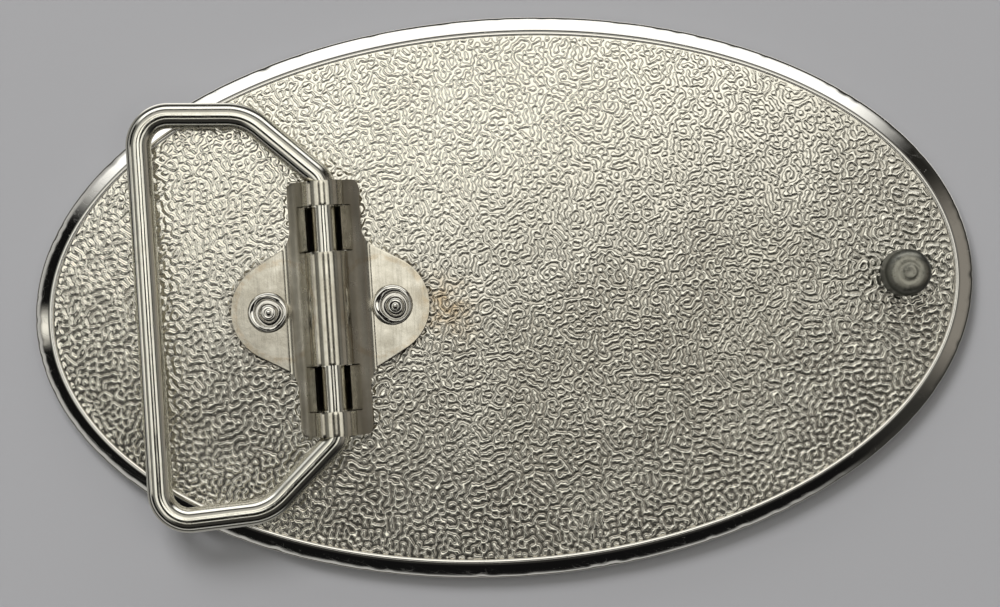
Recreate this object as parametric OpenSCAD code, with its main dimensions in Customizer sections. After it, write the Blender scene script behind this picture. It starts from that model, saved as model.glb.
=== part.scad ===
// Oval plate buckle for a belt, lying on its front face with its back upwards.
// A bent-wire loop swings on a stamped hinge riveted to the plate's back and holds the
// belt's fixed end. A plain stud at the other end takes one of the belt's holes.
// Origin: the plate's centre, on the plane of the front face. +Z points out of the back
// and +X towards the stud. All sizes are in millimetres.

/* [Plate] */
// Length of the oval plate
plate_length = 96; // [80:1:120]
// Width of the oval plate
plate_width = 57.2; // [48:0.2:70]
// Thickness from the front face to the top of the rim's lip
plate_thickness = 2.6; // [2.1:0.1:4]
// Depth of the back's field below the lip
field_drop = 0.15; // [0.1:0.05:0.4]

/* [Rim] */
// Width of the sloping band around the back
rim_band = 1.6; // [1:0.1:2.5]
// Width of the level lip between the band and the field
rim_lip = 0.35; // [0.2:0.05:1]
// Height of the upright outer edge
edge_height = 0.8; // [0.3:0.1:1.1]
// Width of the bevel around the front face
front_bevel = 0.9; // [0.4:0.1:2]
// Height of the bevel around the front face
front_bevel_height = 0.6; // [0.2:0.1:0.7]

/* [Front border] */
// Distance from the outline to the border groove
groove_inset = 3; // [2:0.1:3.5]
// Width of the border groove
groove_width = 0.9; // [0.4:0.1:1.5]
// Depth of the border groove
groove_depth = 0.4; // [0.1:0.05:0.7]

/* [Hinge bracket] */
// Distance from the plate's end to the hinge axis
hinge_inset = 30.25; // [24:0.25:36]
// Thickness of the bracket's sheet
sheet = 0.8; // [0.6:0.05:1]
// Length of the bracket along the hinge axis
bracket_length = 25.9; // [24:0.1:32]
// Width of the bracket's body at its two ends
bracket_width = 6.9; // [6.2:0.1:8.4]
// Radius of an ear's round end
ear_radius = 5.3; // [4.8:0.05:5.8]
// Distance from a rivet in to the centre of its ear's round end
ear_inset = 1.55; // [1:0.05:2]
// Flat left on an ear between its bend and its rivet's head
bend_clear = 0.1; // [0.05:0.05:0.4]
// Angle between an ear's straight shoulder and the X axis
shoulder_angle = 30; // [24:0.5:38]
// Radius of the inside corner between an ear and the body
ear_fillet = 1.8; // [0.8:0.1:2.5]
// Radius of the body's outer corners
corner_radius = 0.7; // [0.2:0.1:1]
// Length of the middle loop that passes over the wire
middle_loop = 11.6; // [9:0.1:12.5]
// Length of each of the two loops that pass under the wire
under_loop = 4.6; // [3:0.1:5]
// Width of the shear cut between one loop and the next
shear_gap = 0.12; // [0.06:0.02:0.3]

/* [Rivets] */
// Distance between the two rivets
rivet_pitch = 12.7; // [12:0.1:15]
// Diameter of a rivet's shank
rivet_shank = 2.4; // [1.8:0.1:3]
// Depth of a rivet's shank in the plate
rivet_depth = 1.2; // [0.8:0.1:1.4]
// Diameter of a rivet's set head
rivet_head = 4.2; // [3.8:0.1:4.8]
// Height of a rivet's set head above its ear
rivet_head_height = 0.75; // [0.6:0.05:1.1]
// Diameter of the hollow that the setting tool leaves
rivet_crater = 2.7; // [2.2:0.1:3]
// Diameter of the nib in the middle of the hollow
rivet_nib = 1.9; // [1:0.1:2.1]

/* [Wire loop] */
// Diameter of the wire
wire = 2.6; // [2:0.1:3.2]
// Distance from the hinge axis to the middle of the cross bar
loop_reach = 18.3; // [15:0.1:26]
// Clear width between the two legs at the cross bar
belt_clear = 38.8; // [34:0.1:46]
// Clear width between the two legs at their shoulders
shoulder_clear = 37.5; // [33:0.1:44]
// Distance from the hinge axis to the legs' shoulders
shoulder_reach = 7.3; // [6:0.1:9]
// Inside radius of the bend beside the bracket
neck_inside = 0.9; // [0.8:0.1:1.6]
// Inside radius of the shoulder bend
shoulder_inside = 3.7; // [2:0.1:4.6]
// Inside radius of the corner beside the cross bar
corner_inside = 1.7; // [0.8:0.1:2.6]
// How far inside the bracket's mouth the wire starts to turn
mouth_depth = 0.7; // [0.2:0.05:0.7]
// Gap between the wire's two ends inside the bracket
wire_end_gap = 6; // [3:0.5:8]

/* [Stud] */
// Distance from the plate's other end to the stud's axis
stud_inset = 7.2; // [6.5:0.1:12]
// Diameter of the stud
stud_diameter = 4.8; // [4:0.1:5.6]
// Height of the stud above the field
stud_height = 4.6; // [3.5:0.1:7]
// Radius of the stud's top edge
stud_round = 0.7; // [0.3:0.05:1]
// Diameter of the stud's spigot in the plate
spigot_diameter = 3; // [2:0.1:3.6]
// Depth of the stud's spigot in the plate
spigot_depth = 1.2; // [0.8:0.1:1.4]
// Diameter of the pip on the stud's top
pip_diameter = 1.4; // [0.8:0.1:2]
// Height of the pip
pip_height = 0.12; // [0.05:0.01:0.3]

/* [Fits] */
// Radial clearance of the wire in the bracket's loops
running_gap = 0.05; // [0.02:0.01:0.1]
// Radial clearance of a shank in an ear's hole
ear_hole_gap = 0.05; // [0.02:0.01:0.1]
// Height of the under-loops above the field
seat_gap = 0.05; // [0.02:0.01:0.1]

/* [Hidden] */
$fn = 96;
arc_steps = 16;
tall = 20;
cut = 0.5;
joint = 0.02;

half_length = plate_length / 2;
half_width = plate_width / 2;
edge_top = front_bevel_height + edge_height;
field_z = plate_thickness - field_drop;

wire_r = wire / 2;
bore_r = wire_r + running_gap;
loop_r = bore_r + sheet;
loop_mid_r = bore_r + sheet / 2;
axis_height = loop_r + seat_gap;
hinge_x = -half_length + hinge_inset;
hinge_z = field_z + axis_height;

bracket_half = bracket_length / 2;
body_half = bracket_width / 2;
window_start = middle_loop / 2;
window_end = window_start + under_loop;
slit_half = loop_r + shear_gap * 2;
rivet_x = rivet_pitch / 2;
ear_x = rivet_x - ear_inset;
ear_tip = ear_x + ear_radius;

// A flank's upper face leaves the ear at the bend and passes half a sheet off the loops'
// middle line, which gives its slope and the place where the sheet's middle line turns.
bend_x = rivet_x - rivet_head / 2 - bend_clear;
flank_span = [bend_x - loop_mid_r, axis_height - sheet];
flank_angle = atan2(flank_span.y, flank_span.x) + asin(sheet / 2 / norm(flank_span));
foot = [loop_mid_r + (axis_height - sheet / 2) / tan(flank_angle), sheet / 2];

// The inside corner's centre stands its radius off the body's side and off the ear's shoulder.
fillet_x = body_half + ear_fillet;
fillet_y = (ear_radius + ear_fillet + (ear_x - fillet_x) * sin(shoulder_angle)) / cos(shoulder_angle);

// Each leg of the wire runs from its shoulder's corner tangent to the bend at its neck, which
// starts inside the bracket's mouth. The mouth is flared to leave that bend room.
neck_bend = wire_r + neck_inside;
shoulder_y = shoulder_clear / 2 + wire_r;
bar_y = belt_clear / 2 + wire_r;
turn_start = bracket_half - mouth_depth;
leg_rise = shoulder_y - turn_start;
leg_run = sqrt(pow(leg_rise, 2) + shoulder_reach * (shoulder_reach - 2 * neck_bend));
neck_y = turn_start + neck_bend * shoulder_reach / (leg_rise + leg_run);
mouth_flare = neck_inside - sqrt(pow(neck_inside, 2) - pow(mouth_depth, 2)) + running_gap;

// The wire's route in plan from the hinge axis: its corners, and the bend at each.
upper_route = [
    [0, wire_end_gap / 2],
    [0, neck_y],
    [-shoulder_reach, shoulder_y],
    [-loop_reach, bar_y]
];
upper_bends = [0, neck_bend, wire_r + shoulder_inside, wire_r + corner_inside];
last = len(upper_route) - 1;
route = concat(upper_route, [for (i = [last:-1:0]) [upper_route[i].x, -upper_route[i].y]]);
bends = concat(upper_bends, [for (i = [last:-1:0]) upper_bends[i]]);
// Bending thins the wire a little, and a bend starts just inside the straight wire.
bent_wire_r = wire_r - 0.01;
bend_overlap = 0.02;

function heading(i) = atan2(route[i + 1].y - route[i].y, route[i + 1].x - route[i].x);
function turn(i) = (heading(i) - heading(i - 1) + 720) % 360;
function has_bend(i) = i > 0 && i < len(route) - 1;
function setback(i) = has_bend(i) ? bends[i] * tan(turn(i) / 2) : 0;
function ahead(angle) = [cos(angle), sin(angle)];
function leftward(angle) = [-sin(angle), cos(angle)];

rivet_seat_z = field_z + sheet;
lip_width = (rivet_head - rivet_crater) / 2;
crater_floor = rivet_head_height / 3;
nib_rise = rivet_head_height * 0.9 - crater_floor;

// The plate's outline, drawn in by a distance on both half axes.
module outline(inset = 0) {
    a = half_length - inset;
    b = half_width - inset;
    scale([1, b / a]) circle(r = a);
}

// A slab that grows or shrinks evenly from one inset at its foot to another at its top.
module bevelled_slab(height, foot_inset, top_inset) {
    growth_x = (half_length - top_inset) / (half_length - foot_inset);
    growth_y = (half_width - top_inset) / (half_width - foot_inset);
    linear_extrude(height, scale = [growth_x, growth_y], slices = 1) outline(foot_inset);
}

// The bevels start a hair inside the upright edge, so that the three slabs join firmly.
module plate_body() {
    bevelled_slab(front_bevel_height + joint, front_bevel, joint);
    translate([0, 0, front_bevel_height]) linear_extrude(edge_height) outline();
    translate([0, 0, edge_top - joint])
        bevelled_slab(plate_thickness - edge_top + joint, joint, rim_band);
}

module border_groove() {
    translate([0, 0, -cut]) linear_extrude(groove_depth + cut) difference() {
        outline(groove_inset);
        outline(groove_inset + groove_width);
    }
}

module blind_hole(x, diameter, depth) {
    translate([x, 0, field_z - depth]) cylinder(d = diameter, h = depth + cut);
}

module plate() {
    color("gainsboro") difference() {
        plate_body();
        translate([0, 0, field_z]) linear_extrude(tall) outline(rim_band + rim_lip);
        border_groove();
        blind_hole(hinge_x - rivet_x, rivet_shank, rivet_depth);
        blind_hole(hinge_x + rivet_x, rivet_shank, rivet_depth);
        blind_hole(half_length - stud_inset, spigot_diameter, spigot_depth);
    }
}

// A strip of sheet seen edge-on between two points of its middle line, with round ends.
module sheet_strip(from, to) {
    span = to - from;
    translate(from) rotate(atan2(span.y, span.x)) {
        translate([0, -sheet / 2]) square([norm(span), sheet]);
        circle(d = sheet);
        translate([norm(span), 0]) circle(d = sheet);
    }
}

// The bracket's sloping flanks and level ears in section, on the field.
module flanks() {
    for (side = [0, 1]) mirror([side, 0]) {
        sheet_strip([loop_mid_r, axis_height], foot);
        sheet_strip(foot, [ear_tip + sheet, sheet / 2]);
    }
}

// Half a ring of sheet in section: over the wire when lift is 1, under it when lift is 0.
module half_ring(lift) {
    translate([0, axis_height]) intersection() {
        difference() {
            circle(r = loop_r);
            circle(r = bore_r);
        }
        translate([-loop_r, (lift - 1) * loop_r]) square([2 * loop_r, loop_r]);
    }
}

module along_hinge(start, end) {
    translate([0, end, 0]) rotate([90, 0, 0]) linear_extrude(end - start) children();
}

function arc(centre, radius, from, to) = [
    for (i = [0:arc_steps])
        let (angle = from + (to - from) * i / arc_steps) centre + radius * [cos(angle), sin(angle)]
];

function mirrored(points, x, y) = [for (i = [len(points) - 1:-1:0]) [points[i].x * x, points[i].y * y]];

// The bracket's outline in plan. Going up from an ear's middle, each quarter has the ear's
// round end, the inside corner beyond its straight shoulder, and the body's outer corner.
module blank() {
    ear_end = 90 - shoulder_angle;
    body_corner = [body_half - corner_radius, bracket_half - corner_radius];
    upper = concat(
        arc([fillet_x, fillet_y], ear_fillet, 270 - shoulder_angle, 180),
        arc(body_corner, corner_radius, 0, 90)
    );
    right = concat(mirrored(upper, 1, -1), arc([ear_x, 0], ear_radius, -ear_end, ear_end), upper);
    polygon(concat(right, mirrored(right, -1, 1)));
}

module formed_sheet() {
    along_hinge(-bracket_half, bracket_half) flanks();
    along_hinge(-window_start, window_start) half_ring(1);
    for (side = [0, 1]) mirror([0, side, 0]) {
        along_hinge(window_start, window_end) half_ring(0);
        along_hinge(window_end, bracket_half) half_ring(1);
    }
}

module shear_cut(y) {
    translate([-slit_half, y - shear_gap / 2, -cut]) cube([2 * slit_half, shear_gap, tall]);
}

module flared_mouth() {
    translate([0, bracket_half - mouth_depth, axis_height]) rotate([-90, 0, 0])
        cylinder(r1 = bore_r, r2 = bore_r + mouth_flare, h = mouth_depth);
}

module hinge_bracket() {
    color("lightgray") translate([hinge_x, 0, field_z]) difference() {
        intersection() {
            formed_sheet();
            translate([0, 0, -cut]) linear_extrude(tall) blank();
        }
        for (side = [0, 1]) mirror([0, side, 0]) {
            shear_cut(window_start);
            shear_cut(window_end);
            flared_mouth();
        }
        for (x = [-rivet_x, rivet_x])
            translate([x, 0, -cut]) cylinder(d = rivet_shank + 2 * ear_hole_gap, h = sheet + 2 * cut);
    }
}

// A set rivet's half section: the shank, a rolled lip around a hollow, and the nib in it.
module rivet_section() {
    bottom = -sheet - rivet_depth;
    translate([0, bottom]) square([rivet_shank / 2, -bottom]);
    square([rivet_head / 2 - lip_width / 2, crater_floor]);
    translate([rivet_head / 2 - lip_width / 2, 0]) square([lip_width / 2, crater_floor]);
    intersection() {
        translate([rivet_head / 2 - lip_width / 2, crater_floor])
            scale([1, 2 * (rivet_head_height - crater_floor) / lip_width]) circle(d = lip_width);
        square([rivet_head, rivet_head_height]);
    }
    intersection() {
        translate([0, crater_floor]) scale([1, 2 * nib_rise / rivet_nib]) circle(d = rivet_nib);
        square([rivet_nib, rivet_head_height]);
    }
}

module rivet(side) {
    color("whitesmoke") translate([hinge_x + side * rivet_x, 0, rivet_seat_z])
        rotate_extrude() rivet_section();
}

module rivet_left() {
    rivet(-1);
}

module rivet_right() {
    rivet(1);
}

// The straight wire from corner i of the route to the next corner.
module straight_run(i) {
    span = norm(route[i + 1] - route[i]);
    first = has_bend(i) ? setback(i) - bend_overlap : 0;
    final = has_bend(i + 1) ? setback(i + 1) - bend_overlap : 0;
    start = route[i] + first * ahead(heading(i));
    translate([start.x, start.y, 0]) rotate([0, 90, heading(i)])
        cylinder(r = wire_r, h = span - first - final);
}

// The bent wire at corner i of the route, which always turns left.
module bend(i) {
    before = heading(i - 1);
    centre = route[i] - setback(i) * ahead(before) + bends[i] * leftward(before);
    translate([centre.x, centre.y, 0]) rotate(before - 90)
        rotate_extrude(angle = turn(i)) translate([bends[i], 0]) circle(r = bent_wire_r);
}

module wire_loop() {
    color("silver") translate([hinge_x, 0, hinge_z]) {
        for (i = [0:len(route) - 2]) straight_run(i);
        for (i = [1:len(route) - 2]) bend(i);
    }
}

// The stud's half section, with its foot on the field.
module stud_section() {
    stud_r = stud_diameter / 2;
    translate([0, -spigot_depth]) square([spigot_diameter / 2, spigot_depth]);
    square([stud_r, stud_height - stud_round]);
    square([stud_r - stud_round, stud_height]);
    translate([stud_r - stud_round, stud_height - stud_round]) intersection() {
        circle(r = stud_round);
        square(stud_round);
    }
    translate([0, stud_height]) square([pip_diameter / 2, pip_height]);
}

module stud() {
    color("dimgray") translate([half_length - stud_inset, 0, field_z])
        rotate_extrude() stud_section();
}

plate();
hinge_bracket();
rivet_left();
rivet_right();
wire_loop();
stud();
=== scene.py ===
"""The finish of an oval plate buckle, built around its packed frame.

The plate lies on its front face. Every piece is made in millimetres, in the frame's own
axes, and is turned into metres when its mesh is written.
"""

import math

import bmesh
import bpy
import numpy as np
from bpy.props import FloatProperty, FloatVectorProperty, IntProperty, PointerProperty
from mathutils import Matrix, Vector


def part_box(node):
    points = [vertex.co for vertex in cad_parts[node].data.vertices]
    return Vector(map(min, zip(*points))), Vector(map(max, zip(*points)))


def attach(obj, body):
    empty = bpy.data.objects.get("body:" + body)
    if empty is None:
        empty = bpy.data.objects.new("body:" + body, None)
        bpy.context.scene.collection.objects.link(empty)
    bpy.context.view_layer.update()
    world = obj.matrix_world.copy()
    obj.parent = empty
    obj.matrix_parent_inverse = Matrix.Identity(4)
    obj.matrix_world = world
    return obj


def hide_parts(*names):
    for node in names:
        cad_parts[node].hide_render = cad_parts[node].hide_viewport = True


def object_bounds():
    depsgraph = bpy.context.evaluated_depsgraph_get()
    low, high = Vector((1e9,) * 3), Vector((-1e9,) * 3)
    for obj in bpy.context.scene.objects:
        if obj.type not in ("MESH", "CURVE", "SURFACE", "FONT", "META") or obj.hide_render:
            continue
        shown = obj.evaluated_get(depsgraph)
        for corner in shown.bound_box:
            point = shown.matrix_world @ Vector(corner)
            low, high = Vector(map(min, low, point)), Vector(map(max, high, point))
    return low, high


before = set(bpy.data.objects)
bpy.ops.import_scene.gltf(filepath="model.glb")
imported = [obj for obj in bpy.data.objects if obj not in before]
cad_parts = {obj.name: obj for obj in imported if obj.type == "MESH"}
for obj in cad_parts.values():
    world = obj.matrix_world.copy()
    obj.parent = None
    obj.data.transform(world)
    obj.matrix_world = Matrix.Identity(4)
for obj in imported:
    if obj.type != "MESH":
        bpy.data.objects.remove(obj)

CAD_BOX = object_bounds()
MM = 0.001

bl_info = {
    "name": "Oval Plate Buckle",
    "version": (1, 0, 0),
    "blender": (4, 5, 0),
    "location": "View3D > Sidebar > Buckle",
    "description": "Builds the finished pieces of an oval plate buckle on its frame",
    "category": "Object",
}


# ---------------------------------------------------------------- sizes and colours

def length(name, description, millimetres):
    """A length setting, with its default given in millimetres."""
    return FloatProperty(
        name=name, description=description, default=millimetres * MM, unit="LENGTH", precision=5
    )


def colour(name, description, red, green, blue):
    return FloatVectorProperty(
        name=name, description=description, default=(red, green, blue), size=3, subtype="COLOR",
        min=0, max=1,
    )


def share(name, description, default):
    return FloatProperty(name=name, description=description, default=default, min=0, max=1,
                         subtype="FACTOR")


class BucklePlateSizes(bpy.types.PropertyGroup):
    """Sizes of the oval plate."""

    rim_band: length("Rim band", "Width of the sloping polished band", 1.6)
    rim_lip: length("Rim lip", "Width of the level lip inside the band", 0.35)
    band_bulge: length("Band bulge", "How far the band swells above a straight slope", 0.05)
    edge_top: length("Edge top", "Height where the band meets the upright edge", 1.5)
    edge_foot: length("Edge foot", "Height where the front bevel meets the upright edge", 0.6)
    front_bevel: length("Front bevel", "Width of the bevel around the front", 0.9)
    groove_inset: length("Groove inset", "Distance from the outline to the front groove", 3.0)
    groove_width: length("Groove width", "Width of the front groove", 0.9)
    groove_depth: length("Groove depth", "Depth of the front groove", 0.4)
    edge_nicks: length("Edge nicks", "Depth of the hand polisher's cuts at the outer edge", 0.05)
    cell: length("Cell", "Spacing of the mesh over the stippled field", 0.074)


class BuckleStippleSizes(bpy.types.PropertyGroup):
    """Sizes of the cast worm-track stipple on the plate's back."""

    pitch: length("Pitch", "Usual distance from one track to the next", 0.7)
    depth: length("Depth", "Height of the tracks above their ground", 0.088)
    wall: share("Wall softness", "How gently a track's wall rises", 0.24)
    level: share("Ground share", "How much of the field is ground", 0.3)
    seed: IntProperty(name="Seed", description="Chooses the run of the tracks", default=7)


class BuckleWireSizes(bpy.types.PropertyGroup):
    """Sizes of the bent-wire loop, apart from those that the frame gives."""

    neck_y: length("Neck", "Half the distance between the two necks' corners", 13.203)
    neck_bend: length("Neck bend", "Centre-line radius of the bend at a neck", 2.2)
    shoulder_x: length("Shoulder reach", "Distance from the hinge axis to the shoulders", 7.3)
    shoulder_y: length("Shoulder", "Half the distance between the shoulders' corners", 20.05)
    shoulder_bend: length("Shoulder bend", "Centre-line radius of a shoulder", 5.0)
    bar_y: length("Bar corner", "Half the distance between the cross bar's corners", 20.7)
    corner_bend: length("Bar bend", "Centre-line radius of a corner at the bar", 3.0)
    end_gap: length("End gap", "Gap between the wire's two ends in the bracket", 6.0)
    drawing_marks: length("Drawing marks", "Depth of the waves left by drawing and bending", 0.012)


class BuckleRivetSizes(bpy.types.PropertyGroup):
    """Sizes of a set rivet."""

    crater: length("Crater", "Diameter of the hollow that the setting tool leaves", 2.7)
    nib: length("Nib", "Diameter of the raised middle", 1.9)
    skew: length("Skew", "How far the right-hand head was set off centre", 0.16)
    lean: length("Lean", "How far one side of a set head is driven lower", 0.09)


class BuckleStudSizes(bpy.types.PropertyGroup):
    """Sizes of the stud."""

    edge_round: length("Edge round", "Radius of the stud's top edge", 1.15)
    pip: length("Pip", "Diameter of the pip on the stud's top", 1.4)
    pip_shift: length("Pip shift", "How far the pip stands off centre", 0.1)


class BuckleBracketSizes(bpy.types.PropertyGroup):
    """Sizes of the stamped hinge bracket, apart from those that the frame gives."""

    sheet: length("Sheet", "Thickness of the sheet", 0.8)
    body: length("Body", "Width of the body at its two ends", 6.9)
    bend_x: length("Foot bend", "Distance from the hinge axis to an ear's bend", 4.02)
    ear_x: length("Ear centre", "From the hinge axis to the centre of an ear's round end", 4.8)
    ear: length("Ear", "Radius of an ear's round end", 5.3)
    fillet: length("Inside corner", "Radius between an ear and the body", 1.8)
    shoulder: FloatProperty(name="Shoulder", description="Angle of an ear's straight shoulder",
                            default=math.radians(30.0), subtype="ANGLE")
    corner: length("Corner", "Radius of the body's outer corners", 0.7)
    middle: length("Middle loop", "Length of the loop that passes over the wire", 11.6)
    under: length("Under loop", "Length of a loop that passes under the wire", 4.6)
    shear: length("Shear cut", "Width of a cut between two loops", 0.12)
    edge_round: length("Edge round", "Radius of the worn edges", 0.24)
    hollow: length("Hollow", "How far a flank is hollowed by the press", 0.14)
    mouth: length("Mouth", "How far in from each end the bore is flared for the wire's bend", 0.7)
    clear: length("Clearance", "Running gap between the wire and the flare", 0.06)
    slack: length("Under-loop slack", "How much wider the under-loops are than the others", 0.36)


class BuckleColours(bpy.types.PropertyGroup):
    """Colours of the finishes."""

    field: colour("Field", "Nickel on the stippled field", 0.82, 0.80, 0.725)
    rim: colour("Rim", "Polished nickel on the rim", 0.80, 0.785, 0.745)
    sheet: colour("Bracket", "Satin nickel on the stamped bracket", 0.70, 0.67, 0.59)
    wire: colour("Wire", "Bright nickel on the wire", 0.80, 0.785, 0.72)
    rivet: colour("Rivets", "Burnished nickel on the rivets", 0.80, 0.785, 0.74)
    stud: colour("Stud", "Dull dark steel", 0.115, 0.12, 0.11)
    stud_top: colour("Stud top", "Worn top of the stud", 0.46, 0.45, 0.39)
    # This colour is also painted as shade along the ears' round edges.
    stain_and_shade: colour("Stain", "Old stain round the bracket", 0.46, 0.33, 0.18)
    # This colour also paints shade: in the field's hollows, round the ears' feet and in the rivets'
    # craters.
    grime_and_shade: colour("Grime", "Grime in hollows and along edges", 0.16, 0.14, 0.115)
    floor: colour("Floor", "Plain pale floor", 0.432, 0.437, 0.468)


PIECE_GROUPS = (
    ("buckle_plate", BucklePlateSizes),
    ("buckle_stipple", BuckleStippleSizes),
    ("buckle_wire", BuckleWireSizes),
    ("buckle_rivet", BuckleRivetSizes),
    ("buckle_stud", BuckleStudSizes),
    ("buckle_bracket", BuckleBracketSizes),
    ("buckle_colours", BuckleColours),
)


def settings(name):
    return getattr(bpy.context.scene, name)


def in_mm(metres):
    return metres / MM


def box_mm(node):
    """The lowest and highest corners of a frame node, in millimetres."""
    low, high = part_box(node)
    return np.array(low) / MM, np.array(high) / MM


# ---------------------------------------------------------------- mesh helpers

def write_mesh(name, points, faces, sharp_degrees=None):
    """A mesh object from points in millimetres and arrays of faces with equal sides."""
    mesh = bpy.data.meshes.new(name)
    points = np.asarray(points, float) * MM
    sides = np.concatenate([np.full(len(f), f.shape[1]) for f in faces])
    corners = np.concatenate([f.ravel() for f in faces]).astype(np.int32)
    mesh.vertices.add(len(points))
    mesh.vertices.foreach_set("co", points.astype(np.float32).ravel())
    mesh.loops.add(len(corners))
    mesh.loops.foreach_set("vertex_index", corners)
    mesh.polygons.add(len(sides))
    starts = np.concatenate([[0], np.cumsum(sides)[:-1]]).astype(np.int32)
    mesh.polygons.foreach_set("loop_start", starts)
    mesh.update(calc_edges=True)
    mesh.validate()
    mesh.shade_smooth()
    if sharp_degrees is not None:
        mesh.set_sharp_from_angle(angle=math.radians(sharp_degrees))
    piece = bpy.data.objects.new(name, mesh)
    bpy.context.scene.collection.objects.link(piece)
    return piece


def seat_piece(piece, body, node, slot, *materials):
    """Rides the piece on its body in place of its frame node, and gives it its finish."""
    for material in materials:
        piece.data.materials.append(material)
    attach(piece, body)
    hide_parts(node)
    return piece


def ring_quads(lower, upper):
    """Quads between two closed rings of point numbers, facing out when both run anticlockwise."""
    return np.stack([lower, upper, np.roll(upper, -1), np.roll(lower, -1)], axis=1)


def stack_rings(rings, centre_low, centre_high):
    """Points and faces of a skin over a list of equal rings, closed at its ends by fans."""
    count = len(rings[0])
    total = count * len(rings)
    walls = [
        ring_quads(np.arange(count) + (i + 1) * count, np.arange(count) + i * count)
        for i in range(len(rings) - 1)
    ]
    first, last = np.arange(count), np.arange(count) + total - count
    fans = [
        np.stack([first, np.full(count, total), np.roll(first, -1)], axis=1)[:, ::-1],
        np.stack([last, np.full(count, total + 1), np.roll(last, -1)], axis=1),
    ]
    points = [np.asarray(ring) for ring in rings]
    points += [np.reshape(centre_low, (1, 3)), np.reshape(centre_high, (1, 3))]
    return np.concatenate(points), [np.concatenate(walls), np.concatenate(fans)]


def ripple(angles, seed, waves, fall=0.6):
    """A smooth closed ripple between -1 and 1 round a ring, from seeded sines."""
    chance = np.random.default_rng(seed)
    total = np.zeros_like(angles)
    for count in waves:
        size, phase = chance.normal(), chance.uniform(0, 2 * math.pi)
        total += size * np.sin(count * angles + phase) / count**fall
    return total / max(np.abs(total).max(), 1e-9)


def smooth_step(value, low, high):
    share_done = np.clip((value - low) / (high - low), 0, 1)
    return share_done * share_done * (3 - 2 * share_done)


def lathe(profile, centre, shape, segments):
    """A solid turned about Z from (radius, height) pairs, top first, in millimetres.

    shape bends each ring: it takes radius, angles and height and returns x, y and z.
    """
    angles = np.linspace(0, 2 * math.pi, segments, endpoint=False)
    rings = []
    for radius, height in profile:
        x, y, z = shape(radius, angles, height)
        rings.append(np.stack([x + centre[0], y + centre[1], z + centre[2]], axis=1))
    return stack_rings(rings[::-1], rings[-1].mean(axis=0), rings[0].mean(axis=0))


# ---------------------------------------------------------------- shader helpers

def add_node(tree, kind, **values):
    """Adds a shader node and sets its attributes."""
    node = tree.nodes.new(kind)
    for name, value in values.items():
        setattr(node, name, value)
    return node


def join(tree, source, target):
    tree.links.new(source, target)


def feed(tree, target, value):
    """Joins another node's output to a socket, or sets the socket to a plain value."""
    if isinstance(value, bpy.types.NodeSocket):
        join(tree, value, target)
    else:
        target.default_value = value


def math_node(tree, operation, first, second=None, clamp=False):
    """The result of one step of arithmetic."""
    node = add_node(tree, "ShaderNodeMath", operation=operation, use_clamp=clamp)
    feed(tree, node.inputs[0], first)
    if second is not None:
        feed(tree, node.inputs[1], second)
    return node.outputs[0]


def vector_node(tree, operation, first, second=None):
    """The result of one step of arithmetic on places or directions."""
    node = add_node(tree, "ShaderNodeVectorMath", operation=operation)
    feed(tree, node.inputs[0], first)
    if second is not None:
        feed(tree, node.inputs[1], second)
    return node.outputs["Value" if operation in ("DISTANCE", "DOT_PRODUCT") else "Vector"]


def ramp_node(tree, value, low, high, low_out=0.0, high_out=1.0):
    """A smooth change from low_out to high_out as the value goes from low to high."""
    node = add_node(tree, "ShaderNodeMapRange", interpolation_type="SMOOTHSTEP")
    labels = ("Value", "From Min", "From Max", "To Min", "To Max")
    for label, source in zip(labels, (value, low, high, low_out, high_out)):
        feed(tree, node.inputs[label], source)
    return node.outputs["Result"]


def noise_node(tree, vector, scale, detail, roughness=0.5):
    """A cloudy value between 0 and 1."""
    node = add_node(tree, "ShaderNodeTexNoise")
    labels = ("Vector", "Scale", "Detail", "Roughness")
    for label, source in zip(labels, (vector, scale, detail, roughness)):
        feed(tree, node.inputs[label], source)
    return node.outputs["Fac"]


def mix_colours(tree, mask, first, second):
    """The first colour where the mask is 0, and the second where it is 1."""
    node = add_node(tree, "ShaderNodeMix", data_type="RGBA")
    sockets = (node.inputs["Factor"], node.inputs[6], node.inputs[7])
    for socket, source in zip(sockets, (mask, first, second)):
        feed(tree, socket, source)
    return node.outputs[2]


def new_group(name, inputs, outputs):
    """An empty shader group with named sockets, given as (name, kind, default)."""
    group = bpy.data.node_groups.new(name, "ShaderNodeTree")
    for label, kind, default in inputs:
        socket = group.interface.new_socket(name=label, in_out="INPUT", socket_type=kind)
        if default is not None:
            socket.default_value = default
    for label, kind in outputs:
        group.interface.new_socket(name=label, in_out="OUTPUT", socket_type=kind)
    start = group.nodes.new("NodeGroupInput")
    end = group.nodes.new("NodeGroupOutput")
    return group, start, end


FLOAT, VECTOR, COLOUR = "NodeSocketFloat", "NodeSocketVector", "NodeSocketColor"


def patches_group():
    """Soft irregular patches: where plate is worn, stained or dull, and where painted shade is broken
    up.
    """
    group, start, end = new_group(
        "patches",
        [("Vector", VECTOR, None), ("Scale", FLOAT, 200.0), ("Cover", FLOAT, 0.5),
         ("Softness", FLOAT, 0.2)],
        [("Mask", FLOAT)],
    )
    noise = noise_node(group, start.outputs["Vector"], start.outputs["Scale"], 5.0, 0.62)
    edge = math_node(group, "SUBTRACT", 1.0, start.outputs["Cover"])
    low = math_node(group, "SUBTRACT", edge, start.outputs["Softness"])
    high = math_node(group, "ADD", edge, start.outputs["Softness"])
    join(group, ramp_node(group, noise, low, high), end.inputs["Mask"])
    return group


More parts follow.
